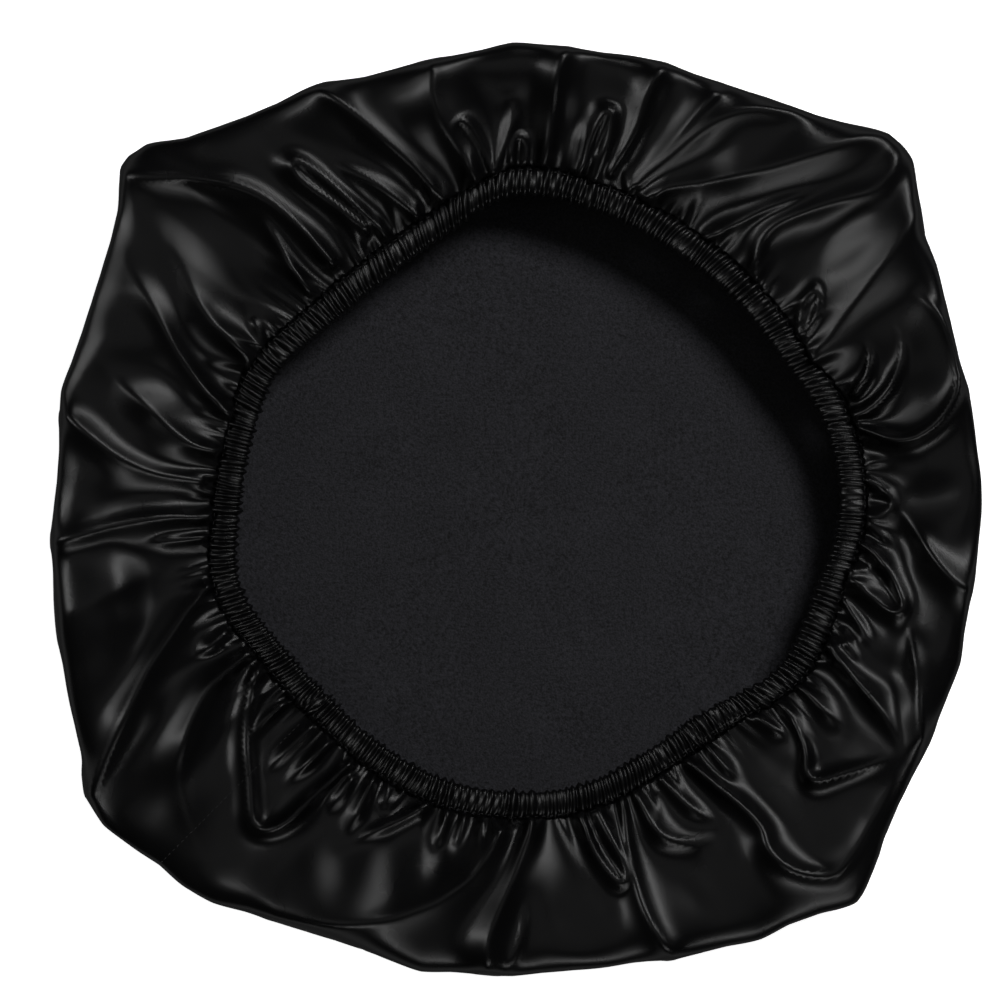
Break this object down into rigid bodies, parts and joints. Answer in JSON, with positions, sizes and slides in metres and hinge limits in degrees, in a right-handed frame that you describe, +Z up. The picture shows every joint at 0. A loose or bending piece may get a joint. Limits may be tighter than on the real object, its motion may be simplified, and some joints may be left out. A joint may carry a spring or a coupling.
{
  "type": "spare tyre cover",
  "caption": "Soft spare wheel cover of lined black vinyl: a flat round face, a gathered side band and an elastic hem, lying on its face with the opening up.",
  "frame": {"origin": "middle of the ground under the cover, which lies on its face: the middle of its bounding box, at its lowest height", "axes": "+Z up out of the opening, along the wheel's axle when the cover is on; +X and +Y across the face, with the band's own seam towards -X -Y"},
  "size_m": [0.7434, 0.7434, 0.0901],
  "materials": {
    "vinyl": "satin",
    "fleece": "matte",
    "elastic": "matte",
    "thread": "satin"
  },
  "bodies": {
    "cover": {"face_panel": "vinyl", "face_lining": "fleece", "wall_band": "vinyl", "wall_lining": "fleece", "rim_allowance": "vinyl", "rim_thread": "thread", "band_seam_allowance": "vinyl", "band_seam_thread": "thread"},
    "hem": {"hem_casing": "vinyl", "hem_thread": "thread", "hem_closing_thread": "thread", "hem_elastic": "elastic", "hem_elastic_tack": "thread"}
  },
  "joints": [
    {"name": "hem_lift", "type": "slide", "parent": "cover", "child": "hem", "axis": [0, 0, 1], "range_m": [-0.025, 0.12], "stiffness_N_per_m": 40, "springref_m": 0.0235, "deforming": ["wall_band", "wall_lining", "band_seam_allowance", "band_seam_thread"]}
  ]
}
